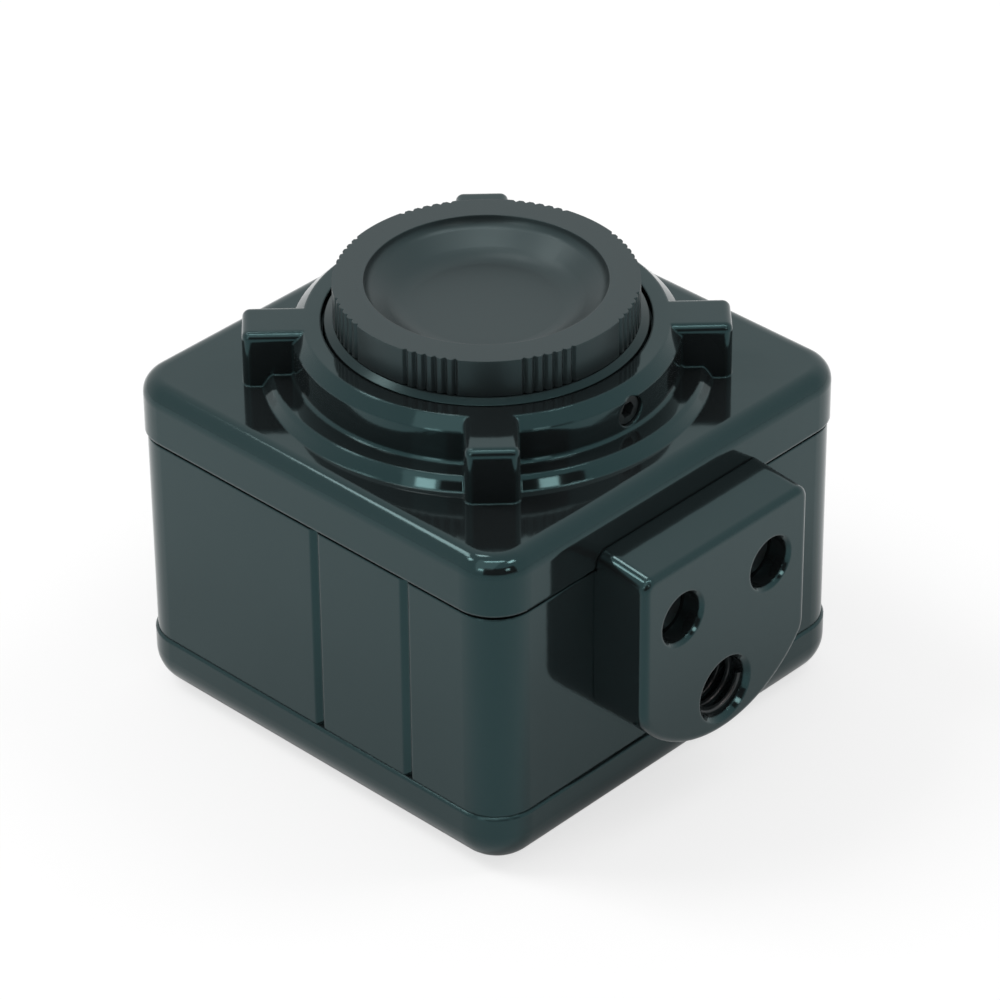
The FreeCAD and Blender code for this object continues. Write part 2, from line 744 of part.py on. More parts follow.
def middle_body():
    """The tube of the case: corner columns, a pad for the foot's screws, two grooves and a seam."""
    body = new_body("middle_body")
    sketch = new_sketch(body, "middle_outline", out="middle_bottom")
    draw_rounded_square(sketch, "middle_width", "middle_corner")
    draw_rounded_square(sketch, "cavity_width", "cavity_corner")
    pad(body, sketch, "middle_tube", "middle_height")
    add_columns(body, "middle_bottom", "middle_height", "middle")

    sketch = new_sketch(body, "foot_pad_outline", "XZ_Plane", out="foot_pad_inner", up="foot_hole_height")
    draw_rectangle(sketch, "foot_pad_width", "foot_pad_height")
    pad(body, sketch, "foot_pad", "foot_pad_length", reverse=True)

    for order in ("first", "second"):
        sketch = new_sketch(
            body, "groove_outline_" + order, out="middle_bottom", up="rib_groove_" + order,
            signs=("", "-", ""), turn="half_turn",
        )
        draw_wedge(sketch, "rib_groove_root", None, "rib_groove_outside", "rib_groove_flare")
        groove = pocket(body, sketch, "groove_" + order, reverse=True)
    wall = -value("middle_half")
    last = value("rib_groove_second") + value("rib_groove_width")

    def groove_lip(edge):
        middle = edge.BoundBox.Center
        return upright(edge) and near(middle.x, wall) and abs(middle.y) < last

    soften(body, "Fillet", "groove_lips", groove, groove_lip, "rib_groove_lip")

    sketch = new_sketch(body, "seam_outline", out="front_bottom")
    draw_rounded_square(sketch, "case_width", "corner_radius")
    draw_rounded_square(sketch, "seam_width", "seam_corner")
    pocket(body, sketch, "seam", "seam_gap")

    drill_columns(body, "front_bottom", "case_screw_hole", "middle_hole")
    sketch = new_sketch(body, "foot_tap_outline", "XZ_Plane", out="foot_back")
    draw_pair(sketch, "foot_tap_radius", "foot_hole_half", "foot_hole_height")
    pocket(body, sketch, "foot_taps", "foot_tap_depth")


def rear_cover():
    """The tray that closes the rear, with round lower edges and openings for the socket and the light."""
    body = new_body("rear_cover")
    sketch = new_sketch(body, "rear_outline")
    draw_rounded_square(sketch, "case_width", "corner_radius")
    slab = pad(body, sketch, "rear_block", "rear_height")
    edge = soften(body, "Fillet", "rear_edge", slab, level("rear_face"), "rear_edge_round")
    soften(body, "Chamfer", "rear_lip", edge, level("rear_height"), "seam_bevel")

    sketch = new_sketch(body, "rear_cavity_outline", out="rear_height")
    draw_rounded_square(sketch, "cavity_width", "cavity_corner")
    pocket(body, sketch, "rear_cavity", "rear_cavity")
    add_columns(body, "rear_column_bottom", "rear_column_length", "rear")
    drill_columns(body, "rear_height", "case_screw_hole", "rear_hole")
    drill_columns(body, "rear_face", "case_screw_sink", "rear_sink", "case_screw_sink_depth", reverse=True)

    down = ("", "-", "")
    sketch = new_sketch(body, "socket_window_outline", out="rear_height", up="socket_place", signs=down)
    draw_rectangle(sketch, "socket_hole_width", "socket_hole_depth")
    pocket(body, sketch, "socket_window")
    sketch = new_sketch(
        body, "light_hole_outline", out="rear_height", right="light_pipe_place", up="socket_place", signs=down
    )
    draw_circle(sketch, "light_pipe_hole")
    pocket(body, sketch, "light_hole")


def case_screws():
    """Four long socket screws from the rear through the columns into the front cover."""
    body = new_body("case_screws")
    sketch = new_sketch(
        body, "case_screw_section", "XZ_Plane", out="case_screw_place", right="case_screw_place",
        signs=("", "", "-"),
    )
    draw_polygon(sketch, [
        (None, "head_recess"),
        ("case_screw_head_radius", "head_recess"),
        ("case_screw_head_radius", "case_screw_sink_depth"),
        ("case_screw_radius", "case_screw_sink_depth"),
        ("case_screw_radius", "case_screw_tip"),
        (None, "case_screw_tip"),
    ])
    screw = revolve(body, sketch, "case_screw")
    sketch = new_sketch(
        body, "case_screw_key_outline", out="head_recess", right="case_screw_place", up="case_screw_place"
    )
    draw_hexagon(sketch, "case_screw_key")
    key = pocket(body, sketch, "case_screw_key", "case_screw_key_depth", reverse=True)
    polar(body, [screw, key], "case_screw_set", True)


def tripod_foot():
    """The block on the side of the case, square on top and round below, with its tripod thread."""
    body = new_body("tripod_foot")
    half = value("foot_half")
    top = value("foot_top")
    centre = Vector(0, value("foot_arc_height"), 0)
    radius = value("foot_arc_radius")
    drop = math.sqrt(radius ** 2 - half ** 2)
    low = centre.y - drop
    lean = math.asin(drop / radius)

    sketch = new_sketch(body, "foot_outline", "XZ_Plane", out="foot_back")
    head = sketch.addGeometry(Part.LineSegment(Vector(-half, top, 0), Vector(half, top, 0)))
    right = sketch.addGeometry(Part.LineSegment(Vector(half, top, 0), Vector(half, low, 0)))
    left = sketch.addGeometry(Part.LineSegment(Vector(-half, low, 0), Vector(-half, top, 0)))
    circle = Part.Circle(centre, Vector(0, 0, 1), radius)
    arc = sketch.addGeometry(Part.ArcOfCircle(circle, math.pi + lean, 2 * math.pi - lean))
    for ends in ((head, 2, right, 1), (right, 2, arc, 2), (arc, 1, left, 1), (left, 2, head, 1)):
        sketch.addConstraint(Sketcher.Constraint("Coincident", *ends))
    sketch.addConstraint(Sketcher.Constraint("Horizontal", head))
    sketch.addConstraint(Sketcher.Constraint("Vertical", right))
    sketch.addConstraint(Sketcher.Constraint("Vertical", left))
    sketch.addConstraint(Sketcher.Constraint("PointOnObject", arc, 3, -2))
    set_size(sketch, "DistanceY", (-1, 1, arc, 3), "foot_arc_height")
    set_size(sketch, "Radius", (arc,), "foot_arc_radius")
    set_size(sketch, "DistanceX", (head, 1, head, 2), "foot_width")
    set_size(sketch, "DistanceX", (-1, 1, head, 2), "foot_half")
    set_size(sketch, "DistanceY", (-1, 1, head, 2), "foot_top")
    pad(body, sketch, "foot_block", "foot_thickness")
    sketch = new_sketch(body, "foot_slope_outline", "YZ_Plane", out="foot_half", signs=("", "", "-"))
    draw_polygon(sketch, [
        ("foot_back_side", "foot_top"),
        ("foot_back_side", "foot_top_back"),
        ("foot_front_side", "foot_top"),
    ])
    slope = pad(body, sketch, "foot_slope", "foot_width")
    front = value("foot_front_side")
    thickness = value("foot_thickness")

    def corner(edge):
        span = edge.Vertexes[-1].Point - edge.Vertexes[0].Point
        return near(span.x, 0) and near(abs(span.y), thickness)

    def above(edge):
        return edge.BoundBox.Center.z > centre.y

    upper = soften(
        body, "Fillet", "foot_top_corners", slope, lambda e: corner(e) and above(e), "foot_top_corner"
    )
    lower = soften(
        body, "Fillet", "foot_low_corners", upper, lambda e: corner(e) and not above(e), "foot_low_corner"
    )

    def on_front(edge):
        return near(edge.BoundBox.YMin, front) and near(edge.BoundBox.YMax, front)

    soften(body, "Fillet", "foot_edge", lower, on_front, "foot_edge_round")

    sketch = new_sketch(
        body, "foot_rebate_outline", "XZ_Plane", out="foot_back", up="foot_rebate_centre"
    )
    draw_rectangle(sketch, "foot_rebate_width", "foot_rebate_height")
    pocket(body, sketch, "foot_rebate", "foot_rebate", reverse=True)
    sketch = new_sketch(body, "foot_hole_outline", "XZ_Plane", out="foot_front")
    draw_pair(sketch, "foot_screw_hole", "foot_hole_half", "foot_hole_height")
    draw_circle(sketch, "tripod_radius", up="tripod_height")
    pocket(body, sketch, "foot_holes")
    sketch = new_sketch(body, "foot_sink_outline", "XZ_Plane", out="foot_front")
    draw_pair(sketch, "foot_screw_sink", "foot_hole_half", "foot_hole_height")
    sinks = pocket(body, sketch, "foot_sinks", "foot_screw_sink_depth")

    def mouth(edge, radius):
        return on_front(edge) and near(edge.BoundBox.XLength, 2 * radius)

    sink = value("foot_screw_sink")
    tripod = value("tripod_radius")
    bevels = soften(body, "Chamfer", "foot_sink_bevels", sinks, lambda e: mouth(e, sink), "foot_hole_bevel")
    soften(body, "Chamfer", "tripod_bevel", bevels, lambda e: mouth(e, tripod), "tripod_bevel")


def foot_screws():
    """Two socket screws that hold the foot to the case."""
    body = new_body("foot_screws")
    sketch = new_sketch(body, "foot_head_outline", "XZ_Plane", out="foot_screw_head_back")
    draw_pair(sketch, "foot_screw_head_radius", "foot_hole_half", "foot_hole_height")
    pad(body, sketch, "foot_heads", "foot_screw_head_height")
    sketch = new_sketch(body, "foot_shank_outline", "XZ_Plane", out="foot_screw_head_back")
    draw_pair(sketch, "foot_screw_radius", "foot_hole_half", "foot_hole_height")
    pad(body, sketch, "foot_shanks", "foot_screw_length", reverse=True)
    for side, sign in (("right", ""), ("left", "-")):
        sketch = new_sketch(
            body, "foot_key_outline_" + side, "XZ_Plane", out="foot_screw_head_front",
            right="foot_hole_half", up="foot_hole_height", signs=(sign, "", ""),
        )
        draw_hexagon(sketch, "foot_screw_key")
        pocket(body, sketch, "foot_key_" + side, "foot_screw_key_depth")


def mount_ring():
    """The threaded ring that sets the flange distance, its face bevelled round the edge."""
    body = new_body("mount_ring")
    sketch = new_sketch(body, "mount_section", "XZ_Plane")
    draw_polygon(sketch, [
        ("mount_thread", "mount_bottom"),
        ("mount_outer", "mount_bottom"),
        ("mount_outer", "mount_bevel_bottom"),
        ("mount_bevel_radius", "mount_face"),
        ("mount_thread", "mount_face"),
    ])
    revolve(body, sketch, "mount_turning")


def lock_screw():
    """The headless screw in the ring's side that locks the mount ring."""
    body = new_body("lock_screw")
    sketch = new_sketch(body, "lock_screw_outline", "XZ_Plane", out="lock_screw_tip")
    draw_circle(sketch, "lock_screw_radius", up="lock_screw_height")
    shank = pad(body, sketch, "lock_shank", "lock_screw_length")
    tip = -value("lock_screw_tip")
    soften(body, "Chamfer", "lock_point", shank, lambda e: near(e.BoundBox.YMin, tip), "lock_screw_point")
    sketch = new_sketch(
        body, "lock_key_outline", "XZ_Plane", out="lock_screw_head", up="lock_screw_height"
    )
    draw_hexagon(sketch, "lock_screw_key")
    pocket(body, sketch, "lock_key", "lock_screw_key_depth")


def dust_cap():
    """The screw-in cap: a dished top, a rim with groups of grip notches and a spigot below."""
    body = new_body("dust_cap")
    sketch = new_sketch(body, "cap_section", "XZ_Plane")
    draw_polygon(sketch, [
        (None, "cap_dish_floor"),
        ("cap_dish_floor_radius", "cap_dish_floor"),
        ("cap_dish_wall_radius", "cap_dish_wall_bottom"),
        ("cap_dish_radius", "cap_top"),
        ("cap_radius", "cap_top"),
        ("cap_radius", "cap_bottom"),
        ("cap_spigot_outer", "cap_bottom"),
        ("cap_spigot_outer", "cap_spigot_bottom"),
        ("cap_spigot_inner", "cap_spigot_bottom"),
        ("cap_spigot_inner", "cap_underside"),
        (None, "cap_underside"),
    ])
    turning = revolve(body, sketch, "cap_turning")
    bend = ring_edge("cap_dish_wall_radius", "cap_dish_wall_bottom")
    wall = soften(body, "Fillet", "cap_dish_bend", turning, bend, "cap_dish_bend")
    floor = ring_edge("cap_dish_floor_radius", "cap_dish_floor")
    soften(body, "Fillet", "cap_dish_foot", wall, floor, "cap_dish_foot")

    sketch = new_sketch(body, "cap_notch_outline", out="cap_bottom", turn="cap_notch_start")
    draw_wedge(sketch, "cap_notch_root", None, "cap_notch_outside", "cap_notch_flare")
    notch = pocket(body, sketch, "cap_notch", "cap_height", reverse=True)
    before = volume(body)
    notches = body.newObject("PartDesign::MultiTransform", "cap_notches")
    notches.Originals = [notch]
    steps = []
    for name, angle, count in (
        ("cap_notch_row", "cap_notch_span", "cap_notch_count"),
        ("cap_notch_rows", "full_turn", "cap_notch_groups"),
    ):
        step = body.newObject("PartDesign::PolarPattern", name)
        step.Axis = (origin_feature(body, "Z_Axis"), [""])
        bind(step, "Angle", angle)
        bind(step, "Occurrences", count)
        steps.append(step)
    notches.Transformations = steps
    body.Tip = notches
    settle(body, notches, before, False)


def disc(label, bottom, height, outer, inner=None):
    """A round plate or ring on the optical axis."""
    body = new_body(label)
    sketch = new_sketch(body, label + "_outline", out=bottom)
    draw_circle(sketch, outer)
    if inner:
        draw_circle(sketch, inner)
    pad(body, sketch, label + "_plate", height)


def circuit_board(label, bottom):
    """A square board with cut corners and a hole beside each."""
    body = new_body(label)
    sketch = new_sketch(body, label + "_outline", out=bottom)
    draw_rectangle(sketch, "board_width", "board_width")
    plate = pad(body, sketch, label + "_plate", "board_thickness")
    soften(body, "Chamfer", label + "_corners", plate, upright, "board_corner_cut")
    sketch = new_sketch(body, label + "_hole_outline", out=bottom)
    draw_circle(sketch, "board_hole", "post_place", "post_place")
    hole = pocket(body, sketch, label + "_hole", reverse=True)
    polar(body, [hole], label + "_holes", False)


def board_spacers():
    """Hexagonal spacers between the boards, each with a stud up into its post."""
    body = new_body("board_spacers")
    corner = {"right": "post_place", "up": "post_place"}
    sketch = new_sketch(body, "spacer_outline", out="main_board_top", **corner)
    draw_hexagon(sketch, "spacer_width")
    spacer = pad(body, sketch, "spacer", "spacer_length")
    sketch = new_sketch(body, "stud_outline", out="sensor_board_bottom", **corner)
    draw_circle(sketch, "board_screw_radius")
    stud = pad(body, sketch, "stud", "stud_length")
    sketch = new_sketch(body, "spacer_tap_outline", out="main_board_top", **corner)
    draw_circle(sketch, "board_tap")
    tap = pocket(body, sketch, "spacer_tap", "spacer_hole_depth", reverse=True)
    polar(body, [spacer, stud, tap], "spacer_set", True)


def board_screws():
    """Four small hexagon-headed screws up through the main board into the spacers."""
    body = new_body("board_screws")
    corner = {"right": "post_place", "up": "post_place"}
    sketch = new_sketch(body, "board_head_outline", out="main_board_bottom", **corner)
    draw_hexagon(sketch, "board_screw_head_width")
    head = pad(body, sketch, "board_head", "board_screw_head_height", reverse=True)
    sketch = new_sketch(body, "board_shank_outline", out="main_board_bottom", **corner)
    draw_circle(sketch, "board_screw_radius")
    shank = pad(body, sketch, "board_shank", "board_screw_length")
    polar(body, [head, shank], "board_screw_set", True)


def block(label, base, height, width, depth, right=None, up=None, signs=("", "", ""), reverse=False):
    """A small box on a board, standing up from its base or hanging down from it."""
    body = new_body(label)
    sketch = new_sketch(body, label + "_outline", out=base, right=right, up=up, signs=signs)
    draw_rectangle(sketch, width, depth)
    pad(body, sketch, label + "_block", height, reverse)
    return body


def image_sensor():
    """The sensor: an open package, its die in the well and a window on top."""
    package = block("image_sensor", "sensor_board_top", "sensor_height", "sensor_width", "sensor_width")
    sketch = new_sketch(package, "sensor_well_outline", out="sensor_top")
    draw_rectangle(sketch, "sensor_well", "sensor_well")
    pocket(package, sketch, "sensor_well", "sensor_well_depth")
    block("sensor_die", "sensor_die_bottom", "sensor_die_thickness", "sensor_die_width", "sensor_die_width")
    block(
        "sensor_window", "sensor_top", "sensor_window_thickness", "sensor_window_width",
        "sensor_window_width",
    )


def board_parts():
    """The connector between the boards and what hangs under the main board."""
    down = ("", "-", "")
    block(
        "link_plug", "sensor_board_bottom", "link_plug_height", "link_length", "link_width",
        up="link_place", signs=down, reverse=True,
    )
    block(
        "link_socket", "main_board_top", "link_socket_height", "link_length", "link_width",
        up="link_place", signs=down,
    )
    under = "main_board_bottom"
    block("processor_chip", under, "chip_height", "chip_width", "chip_width", up="chip_place", reverse=True)
    block(
        "memory_chip", under, "memory_height", "memory_width", "memory_length",
        right="memory_side", signs=("-", "", ""), reverse=True,
    )
    block(
        "choke", under, "choke_height", "choke_width", "choke_width",
        right="choke_side", up="choke_place", signs=("-", "-", ""), reverse=True,
    )
    block(
        "crystal", under, "crystal_height", "crystal_length", "crystal_width",
        right="crystal_side", up="crystal_place", reverse=True,
    )


def interface_socket():
    """The rear socket: a folded metal shell round an insert with a tongue."""
    place = {"up": "socket_place", "signs": ("", "-", "")}
    shell = block(
        "interface_socket", "socket_recess", "socket_length", "socket_width", "socket_depth", **place
    )
    soften(shell, "Fillet", "socket_corners", shell.Tip, upright, "socket_corner")
    sketch = new_sketch(shell, "socket_inside_outline", out="socket_recess", **place)
    draw_rectangle(sketch, "socket_core_width", "socket_core_depth")
    pocket(shell, sketch, "socket_inside", "socket_core_length", reverse=True)

    insert = block(
        "socket_insert", "socket_face", "socket_insert_length",
        "socket_core_width", "socket_core_depth", **place
    )
    sketch = new_sketch(insert, "socket_cavity_outline", out="socket_face", **place)
    draw_rectangle(sketch, "socket_cavity_width", "socket_cavity_depth")
    pocket(insert, sketch, "socket_cavity", "socket_cavity_length", reverse=True)
    sketch = new_sketch(insert, "socket_tongue_outline", out="socket_tongue_start", **place)
    draw_rectangle(sketch, "socket_tongue_width", "socket_tongue_depth")
    pad(insert, sketch, "socket_tongue", "socket_tongue_length")


def status_light():
    """The light under the main board and the clear pipe that shows it at the rear."""
    place = {"right": "light_pipe_place", "up": "socket_place", "signs": ("", "-", "")}
    block("status_led", "main_board_bottom", "led_height", "led_width", "led_width", reverse=True, **place)
    body = new_body("light_pipe")
    sketch = new_sketch(body, "light_pipe_outline", out="light_pipe_recess", **place)
    draw_circle(sketch, "light_pipe_radius")
    pad(body, sketch, "light_pipe_rod", "light_pipe_length")
    sketch = new_sketch(body, "light_collar_outline", out="rear_plate", **place)
    draw_circle(sketch, "light_pipe_collar")
    pad(body, sketch, "light_pipe_ring", "light_pipe_collar_height")


def write_nodes():
    """Checks every object and every solid, then writes one file for each node."""
    doc.recompute()
    failed = [item.Label for item in doc.Objects if {"Invalid", "Error"} & set(item.State)]
    failed += [node.Label for node in nodes if node.Shape.isNull() or not node.Shape.isValid()]
    if failed:
        raise RuntimeError("not built: " + ", ".join(failed))
    os.makedirs("parts", exist_ok=True)
    for node in nodes:
        node.Shape.exportStep("parts/%s.step" % node.Label)
        print("%-18s %2d solids %10.2f mm3" % (node.Label, len(node.Shape.Solids), node.Shape.Volume))


fill_sheet()
front_cover()
middle_body()
rear_cover()
case_screws()
tripod_foot()
foot_screws()
mount_ring()
lock_screw()
dust_cap()
disc("filter_seal", "filter_seat", "filter_seal_thickness", "filter_radius", "filter_seal_inner")
disc("filter_glass", "filter_bottom", "filter_thickness", "filter_radius")
disc("filter_retainer", "filter_top", "filter_retainer_height", "filter_radius", "filter_retainer_inner")
circuit_board("sensor_board", "sensor_board_bottom")
circuit_board("main_board", "main_board_bottom")
board_spacers()
board_screws()
image_sensor()
board_parts()
interface_socket()
status_light()
write_nodes()
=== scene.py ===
# %% [markdown]
# A microscope camera is a small square box with a lens mount on its front. This one stands on its rear
# face with the mount upwards and a dust cap screwed in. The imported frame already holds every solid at
# its real size, so this lesson adds what a solid leaves out: the finish of each surface, the fine
# threads, the contact springs of the rear socket, and a studio to see them in. Lengths are in metres,
# and sizes known in millimetres are multiplied by MM.

# %% Load the frame
import json
import math

import bmesh
import bpy
from mathutils import Matrix, Vector


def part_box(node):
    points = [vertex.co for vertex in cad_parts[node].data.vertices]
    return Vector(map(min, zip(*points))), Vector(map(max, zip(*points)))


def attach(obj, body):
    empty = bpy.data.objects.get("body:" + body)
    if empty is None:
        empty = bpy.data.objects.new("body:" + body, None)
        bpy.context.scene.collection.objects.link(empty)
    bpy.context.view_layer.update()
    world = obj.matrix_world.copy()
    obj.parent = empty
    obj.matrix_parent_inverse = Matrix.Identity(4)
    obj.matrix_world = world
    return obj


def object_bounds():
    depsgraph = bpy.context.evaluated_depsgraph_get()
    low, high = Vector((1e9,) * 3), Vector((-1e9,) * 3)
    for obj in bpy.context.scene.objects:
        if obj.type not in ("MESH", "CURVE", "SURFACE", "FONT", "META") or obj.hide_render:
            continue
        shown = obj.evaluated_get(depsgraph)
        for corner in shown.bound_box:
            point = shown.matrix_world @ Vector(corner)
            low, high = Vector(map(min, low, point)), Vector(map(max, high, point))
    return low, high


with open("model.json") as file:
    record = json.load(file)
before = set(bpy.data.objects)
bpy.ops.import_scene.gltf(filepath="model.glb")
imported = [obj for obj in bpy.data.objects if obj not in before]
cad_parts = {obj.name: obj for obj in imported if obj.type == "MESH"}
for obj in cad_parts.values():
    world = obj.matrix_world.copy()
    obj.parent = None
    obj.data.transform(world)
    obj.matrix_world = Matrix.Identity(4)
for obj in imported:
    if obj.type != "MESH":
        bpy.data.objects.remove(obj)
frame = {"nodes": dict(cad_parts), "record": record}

cad_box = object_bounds()
nodes = frame["nodes"]
MM = 0.001
print("nodes", len(nodes), "box in mm", [[round(v / MM, 2) for v in corner] for corner in cad_box])

# %% [markdown]
# A finish is a tree of nodes, and so is a piece that nodes build. Linked by hand, a sum of three noises
# takes a dozen lines and hides what it means. One small class wraps a socket instead: Python's operators
# add the Math nodes, and its add method makes any other node, settings first, then the values or links
# of its sockets.


# %% A socket that can be added and multiplied
class Wire:
    """An output socket of a node tree, or the bare tree to start from."""

    def __init__(self, tree, socket=None):
        self.tree = tree
        self.socket = socket

    def add(self, kind, settings=None, inputs=None, output=0):
        node = self.tree.nodes.new(kind)
        for name, setting in (settings or {}).items():
            setattr(node, name, setting)
        for name, given in (inputs or {}).items():
            if isinstance(given, Wire):
                self.tree.links.new(given.socket, node.inputs[name])
            else:
                node.inputs[name].default_value = given
        return Wire(self.tree, node.outputs[output] if node.outputs else None)

    def math(self, operation, first, second):
        return self.add("ShaderNodeMath", {"operation": operation}, {0: first, 1: second})

    def __add__(self, other):
        return self.math("ADD", self, other)

    def __sub__(self, other):
        return self.math("SUBTRACT", self, other)

    def __rsub__(self, other):
        return self.math("SUBTRACT", other, self)

    def __mul__(self, other):
        return self.math("MULTIPLY", self, other)

    __radd__ = __add__
    __rmul__ = __mul__

    def above(self, limit):
        """1 where the value is over the limit, and 0 elsewhere."""
        return self.math("GREATER_THAN", self, limit)

    def either(self, other):
        """1 where one of two masks is 1."""
        return self.math("MAXIMUM", self, other)


print("a Wire adds nodes with + - *, above() and either()")

# %% [markdown]
# Most finishes here share a few ingredients: a place on the piece, noise of a known grain, a colour
# between two tones, and a normal that stands for round edges and tiny relief. Each gets a helper, so that
# a finish reads as a list of what is seen on the real surface. Places are Object coordinates, which stay
# with the piece when it moves.

# %% Ingredients of a finish
EDGE_SAMPLES = 6


def new_material(name):
    """An empty material and its bare tree."""
    material = bpy.data.materials.new(name)
    material.use_nodes = True
    material.node_tree.nodes.clear()
    return material, Wire(material.node_tree)


def new_finish(name):
    """An empty material, its bare tree, and the place on the piece in metres."""
    material, tree = new_material(name)
    return material, tree, tree.add("ShaderNodeTexCoord", output="Object")


def noise(place, grain, detail=2.0):
    """Noise between 0 and 1 whose lumps are about one grain across."""
    inputs = {"Vector": place, "Scale": 1.0 / grain, "Detail": detail}
    return place.add("ShaderNodeTexNoise", None, inputs, "Fac")


def blend(first, second, share):
    """Two noises mixed into one, with this share of the first."""
    return share * first + (1 - share) * second


def between(share, first, second):
    """A colour that goes from the first tone to the second as the share goes from 0 to 1."""
    sockets = {0: share, 6: (*first, 1.0), 7: (*second, 1.0)}
    return share.add("ShaderNodeMix", {"data_type": "RGBA"}, sockets, 2)


def soft_edges(tree, radius):
    """A normal that turns gently over sharp edges, as paint and mould wear make them."""
    return tree.add("ShaderNodeBevel", {"samples": EDGE_SAMPLES}, {"Radius": radius}, "Normal")


def relief(height, depth, normal=None):
    """A normal tilted by a height of 0 to 1 that stands for a depth in metres."""
    inputs = {"Height": height, "Strength": 1.0, "Distance": depth}
    if normal:
        inputs["Normal"] = normal
    return height.add("ShaderNodeBump", None, inputs)


def close_finish(material, tree, **sockets):
    """Adds the surface shader; underscores in a socket's name stand for spaces."""
    named = {name.replace("_", " "): given for name, given in sockets.items()}
    shader = tree.add("ShaderNodeBsdfPrincipled", None, named)
    tree.add("ShaderNodeOutputMaterial", None, {"Surface": shader})
    print("finish", material.name, "with", len(material.node_tree.nodes), "nodes")
    return material


print("helpers for place, noise, tone, edges and relief are ready")

# %% [markdown]
# The three castings and the foot are zinc under glossy black stove enamel. A flat black would look like
# a hole: what shows on the real thing is the room, mirrored with a cool tint. So the base is nearly
# black, the mirror is tinted, a wide low noise gives the faint waviness of dried enamel, and a fine one
# varies the gloss. Enamel draws back from sharp edges and rounds them, which is where the thin bright
# lines come from, so the normal is softened over every edge.

# %% Stove enamel
ENAMEL_DEEP = (0.0082, 0.0102, 0.0107)
ENAMEL_THIN = (0.0108, 0.0130, 0.0136)
ENAMEL_TINT = (0.38, 0.90, 0.95, 1.0)
ENAMEL_ROUGH = 0.05
ENAMEL_ROUGH_BY_GRIT = 0.02
ENAMEL_ROUGH_BY_CLOUD = 0.03
ENAMEL_CLOUD = 9 * MM
ENAMEL_GRIT = 0.55 * MM
ENAMEL_EDGE = 0.32 * MM
ENAMEL_WAVE = 2.0 * MM
ENAMEL_WAVE_DEPTH = 0.006 * MM


def enamel():
    material, tree, place = new_finish("stove_enamel")
    cloud = noise(place, ENAMEL_CLOUD, detail=3.0)
    wave = noise(place, ENAMEL_WAVE, detail=1.0)
    grit = noise(place, ENAMEL_GRIT, detail=4.0)
    return close_finish(
        material, tree,
        Base_Color=between(cloud, ENAMEL_DEEP, ENAMEL_THIN),
        Roughness=ENAMEL_ROUGH + ENAMEL_ROUGH_BY_GRIT * grit + ENAMEL_ROUGH_BY_CLOUD * cloud,
        Specular_Tint=ENAMEL_TINT,
        Normal=relief(wave, ENAMEL_WAVE_DEPTH, soft_edges(tree, ENAMEL_EDGE)),
    )


finishes = {"gloss_black_casting": enamel()}

# %% [markdown]
# The dust cap is moulded in black plastic. Its mould was spark-eroded, so the skin is an even fine grain
# that spreads each reflection into a satin glow. A slow noise makes it a little duller in places, as
# handling does.

# %% Satin plastic of the cap
CAP_DEEP = (0.0115, 0.0150, 0.0156)
CAP_WORN = (0.0160, 0.0200, 0.0207)
CAP_TINT = (0.56, 0.92, 0.97, 1.0)
CAP_ROUGH = 0.30
CAP_ROUGH_BY_GRAIN = 0.08
CAP_ROUGH_BY_CLOUD = 0.06
CAP_CLOUD = 6 * MM
CAP_GRAIN = 0.12 * MM
CAP_GRAIN_DEPTH = 0.0015 * MM
CAP_EDGE = 0.15 * MM


def cap_plastic():
    material, tree, place = new_finish("satin_black_plastic")
    cloud = noise(place, CAP_CLOUD, detail=3.0)
    grain = noise(place, CAP_GRAIN)
    return close_finish(
        material, tree,
        Base_Color=between(cloud, CAP_DEEP, CAP_WORN),
        Roughness=CAP_ROUGH + CAP_ROUGH_BY_GRAIN * grain + CAP_ROUGH_BY_CLOUD * cloud,
        Specular_Tint=CAP_TINT,
        Normal=relief(grain, CAP_GRAIN_DEPTH, soft_edges(tree, CAP_EDGE)),
    )


finishes["black_cap"] = cap_plastic()

# %% [markdown]
# The mount ring and the filter's retainer were turned on a lathe, then anodised black. The tool leaves
# rings about the optical axis. A wave texture would make them too even, so the noise is one-dimensional
# and runs along the distance from the axis, and both the tone and the roughness follow it.

# %% Turned and anodised aluminium
ANODISED_DEEP = (0.0060, 0.0080, 0.0084)
ANODISED_LIGHT = (0.0120, 0.0150, 0.0156)
ANODISED_ROUGH = 0.14
ANODISED_ROUGH_BY_RINGS = 0.10
ANODISED_SHINE = 0.3
ANODISED_CLOUD = 4 * MM
TURNING_FEED = 0.09 * MM
TURNING_DEPTH = 0.0012 * MM
TURNED_EDGE = 0.12 * MM


def turned():
    material, tree, place = new_finish("black_anodised")
    flatten = {0: place, 1: (1.0, 1.0, 0.0)}
    across = tree.add("ShaderNodeVectorMath", {"operation": "MULTIPLY"}, flatten)
    radius = tree.add("ShaderNodeVectorMath", {"operation": "LENGTH"}, {0: across}, "Value")
    inputs = {"W": radius, "Scale": 1.0 / TURNING_FEED, "Detail": 2.0}
    rings = tree.add("ShaderNodeTexNoise", {"noise_dimensions": "1D"}, inputs, "Fac")
    cloud = noise(place, ANODISED_CLOUD)
    return close_finish(
        material, tree,
        Base_Color=between(blend(rings, cloud, share=0.6), ANODISED_DEEP, ANODISED_LIGHT),
        Roughness=ANODISED_ROUGH + ANODISED_ROUGH_BY_RINGS * rings,
        Specular_IOR_Level=ANODISED_SHINE,
        Specular_Tint=ENAMEL_TINT,
        Normal=relief(rings, TURNING_DEPTH, soft_edges(tree, TURNED_EDGE)),
    )


finishes["black_anodised"] = turned()

# %% [markdown]
# Screws, spacers, the crystal's can and the socket's shell are drawn, pressed or plated. Their marks have
# no axis in common, so an even noise serves: fine for the grain, wide for the stain that plating always
# has. Numbers alone tell black oxide from brass and nickel.

